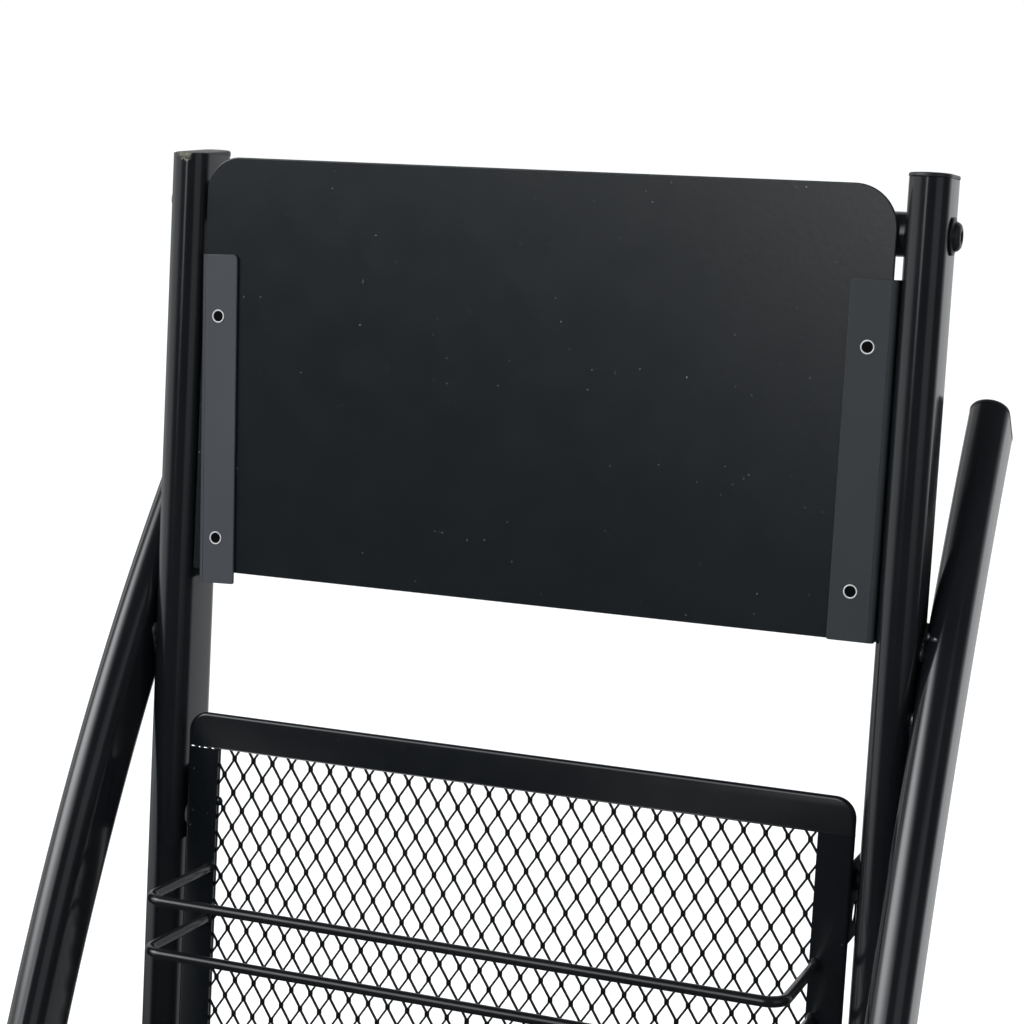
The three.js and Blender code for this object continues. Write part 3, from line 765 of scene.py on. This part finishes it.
def bracket_lean(label):
    """The small turn of a header angle about its own middle."""
    side = SIDES[label]
    _, _, sag, turn = BRACKET_FIT[label]
    pivot = Vector((side * RIVET_X, 0, along(BRACKET_DROP + sag + BRACKET_H / 2)))
    return Matrix.Translation(pivot) @ Matrix.Rotation(side * turn, 4, "Y") @ Matrix.Translation(-pivot)


def header_bracket(label):
    """An angle with a rounded bend: a flange over the panel's edge and a web back along the upright."""
    width, inset, sag, _ = BRACKET_FIT[label]
    outer = UPRIGHT_X - TUBE_R - HEADER_GAP - inset
    front = BRACKET_FRONT
    bend = BRACKET_BEND
    foot = along(BRACKET_DROP + sag + BRACKET_H)
    head = along(BRACKET_DROP + sag)
    shape = Shape()
    corners = (CUT_CORNER, 0, 0, BRACKET_CORNER)
    flange = corner_outline(outer - width, foot, outer - bend, head, corners, 10)
    place = shift(0, front + BRACKET_THICK / 2, 0) @ STAND_UP
    shape.add(plate(flange, [], BRACKET_THICK, 0.3).moved(place))
    corners = (0, CUT_CORNER, CUT_CORNER, 0)
    web = corner_outline(front + bend, foot, BRACKET_BACK, head, corners, 6)
    place = shift(outer - BRACKET_THICK / 2, 0, 0) @ SIDE_ON
    shape.add(plate(web, [], BRACKET_THICK, 0.3).moved(place))
    section = []
    for radius in (bend, bend - BRACKET_THICK):
        arc = [math.pi / 2 * i / 8 for i in range(9)]
        if radius != bend:
            arc.reverse()
        section += [
            (outer - bend + radius * math.sin(a), front + bend - radius * math.cos(a)) for a in arc
        ]
    rings = [[(x, y, z) for x, y in section] for z in (foot + 0.02, head - 0.02)]
    shape.loft(rings)
    if SIDES[label] < 0:
        shape = shape.moved(Matrix.Diagonal((-1, 1, 1, 1)))
    return shape.moved(bracket_lean(label))


def eyelet():
    """A hollow rivet's rolled head round its bore, which a flat disc fills with near-black painted
    shade; it faces +Z and bears at z = 0.
    """
    profile = [(-0.6, 2.3), (0.0, 2.55)]
    for i in range(9):
        a = math.pi * i / 8
        profile.append((0.14 + 0.25 * math.sin(a), 2.33 + 0.25 * math.cos(a)))
    profile += [(0.08, 2.06), (-0.9, 2.02)]
    shape = turned(profile, 40)
    shape.faces.pop()
    rim = len(shape.faces)
    # a near-black disc across the bore: painted shade for its dark inside
    shape.add(turned([(-1.0, 2.07), (0.0, 2.07), (0.02, 0.1)], 32))
    return shape, rim


def rivet_tail():
    return turned([(0.0, 2.3), (0.35, 2.35), (0.75, 2.0), (0.9, 1.4), (0.8, 0.1)], 32)


def add_header():
    piece("header_panel_sheet", header_panel(), PANEL, ["header_panel"], smooth_deg=50)
    for label, side in SIDES.items():
        name = f"header_bracket_{label}"
        angle = header_bracket(label)
        # each angle takes its own painted-light or painted-shade copy of the same enamel
        piece(f"{name}_angle", angle, BRACKET[label], [name], smooth_deg=50)
        back = HEADER_FRONT + HEADER_THICK
        for level, drop in RIVET_DROPS.items():
            z = along(drop + BRACKET_FIT[label][2])
            shape, rim = eyelet()
            place = shift(side * RIVET_X, BRACKET_FRONT, z) @ TO_FRONT
            shape = shape.moved(bracket_lean(label) @ place)
            face_count = len(shape.faces)
            tail_place = shift(side * RIVET_X, back, z) @ TO_BACK
            shape.add(rivet_tail().moved(bracket_lean(label) @ tail_place))
            node = f"header_rivet_{label}_{level}"
            # the disc in the bore takes the near-black painted shade
            bore = [(rim, face_count, BORE_SHADE)]
            piece(f"{node}_eyelet", shape, RIM, [node], extra=bore)


# ---- pockets, in a frame whose origin is at the top middle of the pocket's front face ----


def folded_strip(outline, folded, thick, steps=8):
    """A flat double-folded strip: round folds where folded is true, cut edges elsewhere. Plane X, Z."""
    r = thick / 2
    count = len(outline)
    normals = []
    for i in range(count):
        ax, az = outline[i - 1]
        bx, bz = outline[(i + 1) % count]
        length = math.hypot(bx - ax, bz - az)
        normals.append(((bz - az) / length, -(bx - ax) / length))
    shape = Shape()
    rings = []
    for k in range(steps + 1):
        a = -math.pi / 2 + math.pi * k / steps
        ring = []
        for (x, z), (nx, nz), fold in zip(outline, normals, folded):
            out = r * (math.cos(a) - 1) if fold else 0.0
            ring.append((x + nx * out, r + r * math.sin(a), z + nz * out))
        rings.append(ring)
    shape.loft(rings)
    return shape


def top_strip():
    half = POCKET_W / 2
    outline, folded = [], []
    for i, (x, z) in enumerate(
        corner_outline(-half, -BORDER_TOP, half, 0, (0, 0, BORDER_CORNER, BORDER_CORNER), 14)
    ):
        outline.append((x, z))
        folded.append(i > 1)
    # The cut lower edge keeps its full length, so the folds start just above it.
    above = -BORDER_TOP + 0.6
    outline = [outline[0], outline[1], (half, above)] + outline[2:] + [(-half, above)]
    folded = [False, False, True] + folded[2:] + [True]
    return folded_strip(outline, folded, BORDER_THICK + 0.25)


def tray_line():
    """The pocket's side profile at its front face: (y, z, normal y, normal z) stations."""
    bend = BORDER_BEND
    y, z = -bend, -POCKET_H + BORDER_THICK + bend  # the bend's centre
    stations = [(0.0, -BORDER_TOP + 0.3, 1.0, 0.0)]
    stations += [(0.0, -BORDER_TOP + (z + BORDER_TOP) * i / 10, 1.0, 0.0) for i in range(1, 10)]
    for i in range(9):
        a = -math.pi / 2 * i / 8
        out, up = math.cos(a), math.sin(a)
        stations.append((y + bend * out, z + bend * up, out, up))
    for i in range(1, 5):
        stations.append((y + (-POCKET_DEPTH + 5.0 - y) * i / 4, z - bend, 0.0, -1.0))
    return stations


def side_strip(side):
    """A folded channel from the top strip down the back, round the bend and forward to the lip."""
    shape = Shape()
    half = POCKET_W / 2
    leaf = 0.75
    r = BORDER_THICK / 2
    outer = []
    for i in range(9):
        a = -math.pi / 2 + math.pi * i / 8
        outer.append((half - r + r * math.cos(a), r + r * math.sin(a)))
    inner_edge = half - BORDER_SIDE
    section = [(inner_edge, 0.0)] + outer + [(inner_edge, BORDER_THICK)]
    section += [(inner_edge, BORDER_THICK - leaf), (half - 2.2, BORDER_THICK - leaf)]
    section += [(half - 2.2, leaf), (inner_edge, leaf)]
    rings = []
    for y, z, ny, nz in tray_line():
        rings.append([(side * x, y + ny * n, z + nz * n) for x, n in section])
    if side < 0:
        rings = [list(reversed(r)) for r in rings]
    rings = [list(reversed(r)) for r in rings]
    shape.loft(rings)
    return shape


def lip_strip():
    """The front lip: a folded strip at the tray's front edge, rounded where it meets the tray."""
    half = POCKET_W / 2
    low, high = -POCKET_H, -POCKET_H + POCKET_LIP
    r = BORDER_THICK / 2
    front = -POCKET_DEPTH
    section = []
    for i in range(9):  # folded top edge
        a = math.pi * i / 8
        section.append((front + r - r * math.cos(a), high - r + r * math.sin(a)))
    section.append((front + BORDER_THICK, low + BORDER_THICK + 2.0))
    for i in range(1, 6):  # inner bend to the tray
        a = math.pi + math.pi / 2 * i / 5
        y, z = front + BORDER_THICK + 2.0, low + BORDER_THICK + 2.0
        section.append((y + 2.0 * math.cos(a), z + 2.0 * math.sin(a)))
    section.append((front + 12.0, low + BORDER_THICK))
    section.append((front + 12.0, low))
    for i in range(7):  # outer bend
        a = -math.pi / 2 - math.pi / 2 * i / 6
        section.append((front + 4.0 + 4.0 * math.cos(a), low + 4.0 + 4.0 * math.sin(a)))
    shape = Shape()
    xs = [-half, -half + 0.5] + [-half + POCKET_W * i / 8 for i in range(1, 8)] + [half - 0.5, half]
    rings = [[(x, y, z) for y, z in section] for x in xs]
    shape.loft([list(reversed(r)) for r in rings])
    return shape


def tab_plate(side, drop):
    """The ear bent back from the side strip to the upright, with its open hole."""
    outer = POCKET_W / 2
    axis_y = -BORDER_FRONT
    outline = corner_outline(0.8, -drop - TAB_H, TAB_BACK + axis_y, -drop, (0, 1.5, 1.5, 0), 5)
    hole = [(axis_y + x, -drop - TAB_HOLE_DROP + z) for x, z in circle(TAB_HOLE_R, 32)]
    flat = plate(outline, [hole], TAB_THICK, 0.25)
    return flat.moved(shift(side * (outer - TAB_THICK / 2), 0, 0) @ SIDE_ON)


def seam_tacks():
    """A broken line of bare metal along the seam where the top strip laps the left side strip."""
    shape = Shape()
    half = POCKET_W / 2
    x = -half + 0.6
    while x < -half + BORDER_SIDE - 0.6:
        length = random.uniform(1.5, 3.3)
        blob = turned([(-0.3, 0.1), (-0.2, 0.8), (0.0, 1.0), (0.22, 0.8), (0.32, 0.1)], 12)
        tilt = -BORDER_TOP - 0.1 + random.uniform(-0.12, 0.12)
        squeeze = Matrix.Diagonal((length / 2, 0.38, 1.0, 1))
        shape.add(blob.moved(shift(x + length / 2, -0.16, tilt) @ TO_FRONT @ squeeze))
        x += length + random.uniform(0.3, 0.9)
    return shape


WELD_DROP_DOWN = 35.4  # below the pocket's top


def weld_drop():
    """A drop of weld that stands out from the inner edge of the left side strip."""
    drop = turned([(-1.0, 0.1), (-0.8, 1.2), (0.0, 1.9), (0.8, 1.2), (1.0, 0.1)], 20)
    place = shift(-POCKET_W / 2 + BORDER_SIDE + 0.3, BORDER_THICK / 2, -WELD_DROP_DOWN)
    return drop.moved(place @ TO_FRONT)


MESH_HALF_WIDE = 4.17  # half a diamond's width
MESH_HALF_TALL = 6.93  # half a diamond's height
MESH_TOP = -10.4  # the first row of knuckles, inside the top strip
STRAND_W, STRAND_T = 0.95, 0.7


def mesh_at(s):
    """The sheet's middle plane at a distance s down its profile: (y, z), (normal y, normal z)."""
    middle = BORDER_THICK / 2
    radius = BORDER_BEND + middle
    top = MESH_TOP
    straight = top + POCKET_H - BORDER_THICK - BORDER_BEND
    arc = radius * math.pi / 2
    if s <= straight:
        return (middle, top - s), (1.0, 0.0)
    if s <= straight + arc:
        a = -(s - straight) / radius
        y = -BORDER_BEND + radius * math.cos(a)
        z = top - straight + radius * math.sin(a)
        return (y, z), (math.cos(a), math.sin(a))
    return (-BORDER_BEND - (s - straight - arc), top - straight - radius), (0.0, -1.0)


def expanded_mesh():
    """Strands that zigzag down the sheet and join their neighbours at the knuckles."""
    shape = Shape()
    half = POCKET_W / 2 - 3.5
    straight = POCKET_H - BORDER_THICK - BORDER_BEND + MESH_TOP
    length = straight + (BORDER_BEND + BORDER_THICK / 2) * math.pi / 2 + 39.0
    strands = int(2 * half / MESH_HALF_WIDE)
    start_x = -half
    swing = MESH_HALF_WIDE / 2 - STRAND_W * 0.44
    knuckle = 0.9
    turns = int(length / MESH_HALF_TALL)
    for k in range(strands):
        rings = []
        for j in range(turns + 1):
            way = 1 if (k + j) % 2 == 0 else -1
            x = start_x + (k + 0.5) * MESH_HALF_WIDE + way * swing
            for end in (-1, 1):
                s = j * MESH_HALF_TALL + end * knuckle
                if s < 0 or s > length:
                    continue
                (y, z), (ny, nz) = mesh_at(s)
                tilt = 0.16 * way * end
                ring = []
                for u, v in ((-1, -1), (1, -1), (1, 1), (-1, 1)):
                    across = u * STRAND_W / 2 * math.cos(tilt) - v * STRAND_T / 2 * math.sin(tilt)
                    deep = u * STRAND_W / 2 * math.sin(tilt) + v * STRAND_T / 2 * math.cos(tilt)
                    ring.append((x + across, y + ny * deep, z + nz * deep))
                rings.append(ring)
        shape.loft([list(reversed(r)) for r in rings])
    return shape


def wire_line():
    """The guard wire's centre line in X, Y, as (x, y, heading) stations."""
    stations = [(-WIRE_X, y, -math.pi / 2) for y in (0.4, -2.0, -20.0)]
    for side in (-1, 1):
        for i in range(13):
            turn = math.pi / 2 * i / 12
            heading = turn - math.pi / 2 if side < 0 else turn
            stations.append(
                (
                    side * (WIRE_X - WIRE_BEND) + WIRE_BEND * math.sin(heading),
                    -WIRE_OUT + WIRE_BEND - WIRE_BEND * math.cos(heading),
                    heading,
                )
            )
        if side < 0:
            flat = WIRE_X - WIRE_BEND
            stations += [(-flat + 2 * flat * i / 16, -WIRE_OUT, 0.0) for i in range(1, 16)]
    stations += [(WIRE_X, y, math.pi / 2) for y in (-20.0, -2.0, 0.4)]
    return stations


def guard_wire():
    shape = Shape()
    rings = []
    section = circle(WIRE_R, 20)
    for x, y, heading in wire_line():
        across = Vector((-math.sin(heading), math.cos(heading), 0))
        rings.append([Vector((x, y, 0)) + across * -u + Vector((0, 0, v)) for u, v in section])
    shape.loft([list(reversed(r)) for r in rings])
    for side in (-1, 1):  # weld fillet at each foot
        bead = turned([(-0.3, 2.7), (0.25, 2.6), (0.8, 2.3), (1.7, 2.1), (2.6, 1.9)], 24)
        shape.add(bead.moved(shift(side * WIRE_X, 0, 0) @ TO_FRONT))
    return shape


def tab_rivet():
    """A head inside the pocket, and a shank and collar across the gap to the upright, along X."""
    web = POCKET_W / 2 - TAB_THICK
    head, collar = web - LOOKS_GAP, web + TAB_THICK + LOOKS_GAP
    tube = UPRIGHT_X - TUBE_R
    profile = [(web - 1.5, 0.1), (web - 1.45, 1.6), (web - 1.1, 3.2), (web - 0.5, 4.2)]
    profile += [(head, 4.5), (head, 2.4), (collar, 2.4), (collar, 4.0)]
    profile += [(tube - LOOKS_GAP, 4.0), (tube - LOOKS_GAP, 2.3), (tube + 2.0, 0.5)]
    return turned(profile, 32)


def pocket_frame():
    """The folded border, then the tabs, then the bare tacks: the shape and where each group starts."""
    shape = Shape()
    shape.add(top_strip().moved(shift(0, -0.125, 0)))
    for side in (-1, 1):
        shape.add(side_strip(side))
    shape.add(lip_strip())
    shape.add(weld_drop())
    tabs = len(shape.faces)
    for side in (-1, 1):
        for drop in TAB_DROPS.values():
            shape.add(tab_plate(side, drop))
    tacks = len(shape.faces)
    shape.add(seam_tacks())
    return shape, tabs, tacks


def add_pocket(tier, mesh):
    name = f"pocket_{tier + 1}"
    place = shift(0, BORDER_FRONT, along(POCKET_DROP + tier * POCKET_PITCH))
    frame_shape, tabs, tacks = pocket_frame()
    piece(
        f"{name}_frame_border",
        frame_shape.moved(place),
        BORDER,
        [f"{name}_frame"],
        smooth_deg=50,
        # the ears take the border's darker painted-shade copy
        extra=[(tabs, tacks, TAB_SHADED), (tacks, len(frame_shape.faces), STEEL)],
    )
    node = f"{name}_mesh"
    piece(f"{node}_diamonds", mesh.moved(place), MESH_PAINT, [node], smooth_deg=25)
    for level, drop in WIRE_DROPS.items():
        node = f"{name}_wire_{level}"
        rod = guard_wire().moved(place @ shift(0, 0, -drop))
        piece(f"{node}_rod", rod, WIRE, [node])
    for label, side in SIDES.items():
        for level, drop in TAB_DROPS.items():
            node = f"{name}_rivet_{label}_{level}"
            where = place @ shift(0, -BORDER_FRONT, -drop - TAB_RIVET_DROP) @ outward(side)
            pin = tab_rivet().moved(where)
            piece(f"{node}_pin", pin, OXIDE, [node], smooth_deg=30)


# ---- floor, light and camera ----

FLOOR_GLOW = 0.2
SURROUND = 1.05  # what the camera and diffuse light see all round
PALE_BLUE = (0.965, 0.985, 1.0)
LAMP_TINT = (0.96, 0.98, 1.0)
# What gloss sees instead: a painted studio. Patches run from one turn and height to another.
STUDIO_DIM = 0.04  # the dim room in front of the stand
STUDIO_BACK = 0.68  # the pale backdrop behind it
SOFTBOX = 7.4  # a large light high on the left
GLARE = 1.7  # a soft bright area high in front
LEFT_WALL = 1.0
FAR_WALL = 0.75  # far round on the left, high up
LAMP_STAND = 2.6  # a narrow upright light in front
RIGHT_WALL = 0.45


def pale_floor():
    """A wide pale floor that fades out into the pale surroundings."""
    shape = Shape()
    rings = []
    for radius in (0.01, 1.5, 4.0, 9.0):
        rings.append([(x, y, -0.0004) for x, y in circle(radius, 96)])
    shape.loft(rings, start_cap=True, end_cap=False)
    mesh = bpy.data.meshes.new("floor")
    mesh.from_pydata(shape.points, [], [tuple(reversed(f)) for f in shape.faces])
    finish = Finish("floor_paint", specular=0.2)
    finish.colour(finish.mix(finish.noise(300, detail=3), (0.86, 0.86, 0.86), (0.89, 0.89, 0.89)))
    finish.roughness(finish.ramp(finish.noise(60, detail=3), 0.3, 0.7, 0.75, 0.85))
    finish.shader.inputs["Emission Color"].default_value = (1, 1, 1, 1)
    finish.shader.inputs["Emission Strength"].default_value = FLOOR_GLOW
    mesh.materials.append(finish.material)
    floor = bpy.data.objects.new("floor", mesh)
    bpy.context.scene.collection.objects.link(floor)
    floor.visible_glossy = False  # gloss sees the room that the surroundings hold


def surroundings():
    """Even pale light for everything except gloss, which sees a painted studio of soft patches."""
    world = bpy.data.worlds.new("surroundings")
    bpy.context.scene.world = world
    world.use_nodes = True
    tree = world.node_tree
    nodes, links = tree.nodes, tree.links
    background = nodes["Background"]
    place = nodes.new("ShaderNodeTexCoord").outputs["Generated"]
    split = nodes.new("ShaderNodeSeparateXYZ")
    links.new(place, split.inputs["Vector"])

    def maths(operation, *values):
        made = nodes.new("ShaderNodeMath")
        made.operation = operation
        for value, socket in zip(values, made.inputs):
            if isinstance(value, (int, float)):
                socket.default_value = value
            else:
                links.new(value, socket)
        return made.outputs["Value"]

    def ramp(value, low, high):
        """0 below low, 1 above high, smooth between; falls instead of rising where low is over high."""
        made = nodes.new("ShaderNodeMapRange")
        made.interpolation_type = "SMOOTHSTEP"
        made.inputs["From Min"].default_value = min(low, high)
        made.inputs["From Max"].default_value = max(low, high)
        made.inputs["To Min"].default_value = 0.0 if low < high else 1.0
        made.inputs["To Max"].default_value = 1.0 if low < high else 0.0
        links.new(value, made.inputs["Value"])
        return made.outputs["Result"]

    forward = maths("MULTIPLY", split.outputs["Y"], -1.0)
    turn = maths("MULTIPLY", maths("ARCTAN2", split.outputs["X"], forward), math.degrees(1))
    rise = maths("MULTIPLY", maths("ARCSINE", split.outputs["Z"]), math.degrees(1))

    def patch(level, *edges):
        """A soft-edged patch. The first two edges are turns from the front and the last two are
        heights, in degrees, each from where it starts to fade in to where it is full."""
        value = level
        for i, (low, high) in enumerate(edges):
            value = maths("MULTIPLY", ramp(turn if i < 2 else rise, low, high), value)
        return value

    glow = maths("MULTIPLY", ramp(split.outputs["Y"], 0.48, 0.92), STUDIO_BACK)
    for extra in (
        patch(SOFTBOX, (-90, -67), (0, -60), (10, 27), (60, 36)),
        patch(GLARE, (-34, -8), (6, -6), (9, 19), (50, 30)),
        patch(LEFT_WALL, (-140, -95), (-28, -56), (-26, -8), (24, 10)),
        patch(FAR_WALL, (-150, -128), (-86, -106), (2, 16), (58, 40)),
        patch(LAMP_STAND, (-14, -10), (-2, -6), (4, 10), (40, 20)),
        patch(RIGHT_WALL, (38, 50), (88, 74), (-10, 2), (50, 30)),
    ):
        glow = maths("ADD", glow, extra)
    glow = maths("ADD", glow, STUDIO_DIM)
    gloss = nodes.new("ShaderNodeMix")
    gloss.data_type = "FLOAT"
    links.new(nodes.new("ShaderNodeLightPath").outputs["Is Glossy Ray"], gloss.inputs[0])
    gloss.inputs[2].default_value = SURROUND
    links.new(glow, gloss.inputs[3])
    links.new(gloss.outputs[0], background.inputs["Strength"])
    background.inputs["Color"].default_value = (*PALE_BLUE, 1)


def softbox(name, place, aim, width, height, power, tint=(1, 1, 1)):
    data = bpy.data.lights.new(name, "AREA")
    data.shape = "RECTANGLE"
    data.size, data.size_y = width, height
    data.energy = power
    data.color = tint
    lamp = bpy.data.objects.new(name, data)
    lamp.location = place
    lamp.rotation_euler = (Vector(aim) - Vector(place)).to_track_quat("-Z", "Y").to_euler()
    lamp.visible_glossy = False  # gloss sees the lights that the surroundings hold
    bpy.context.scene.collection.objects.link(lamp)


def studio_lights():
    softbox("key", (-0.62, -1.75, 2.15), (0.0, 0.0, 1.15), 0.42, 1.2, 26, LAMP_TINT)
    softbox("side", (1.9, 0.55, 1.5), (0.1, 0.0, 1.0), 0.5, 2.0, 22, LAMP_TINT)
    softbox("top", (-0.3, 0.5, 3.1), (0.0, 0.0, 1.0), 1.2, 0.9, 16)


def photo_camera():
    data = bpy.data.cameras.new("camera")
    data.sensor_width = 36
    data.lens = 81.14  # millimetres, fitted to the photo with the place and the turn below
    data.clip_start, data.clip_end = 0.02, 60
    camera = bpy.data.objects.new("camera", data)
    camera.location = (0.2930, -0.7294, 1.4858)
    camera.rotation_euler = (math.radians(75.42), 0, math.radians(20.68))
    bpy.context.scene.collection.objects.link(camera)
    bpy.context.scene.camera = camera


def colour_management():
    view = bpy.context.scene.view_settings
    view.view_transform = "Standard"
    view.look = "None"
    view.exposure = 0.0
    view.gamma = 1.0


add_side_frames()
add_crossbar("top", UPRIGHT_X, 0, along(TOP_BAR_DROP))
add_crossbar("front", UPRIGHT_X, 0, along(FRONT_BAR_DROP))
rear = bow_point(bow_angle_at(REAR_BAR_HEIGHT))
add_crossbar("rear", LEG_X, rear.y, rear.z)
add_header()
diamonds = expanded_mesh()
for tier in range(POCKET_COUNT):
    add_pocket(tier, diamonds)
pale_floor()
surroundings()
studio_lights()
photo_camera()
colour_management()
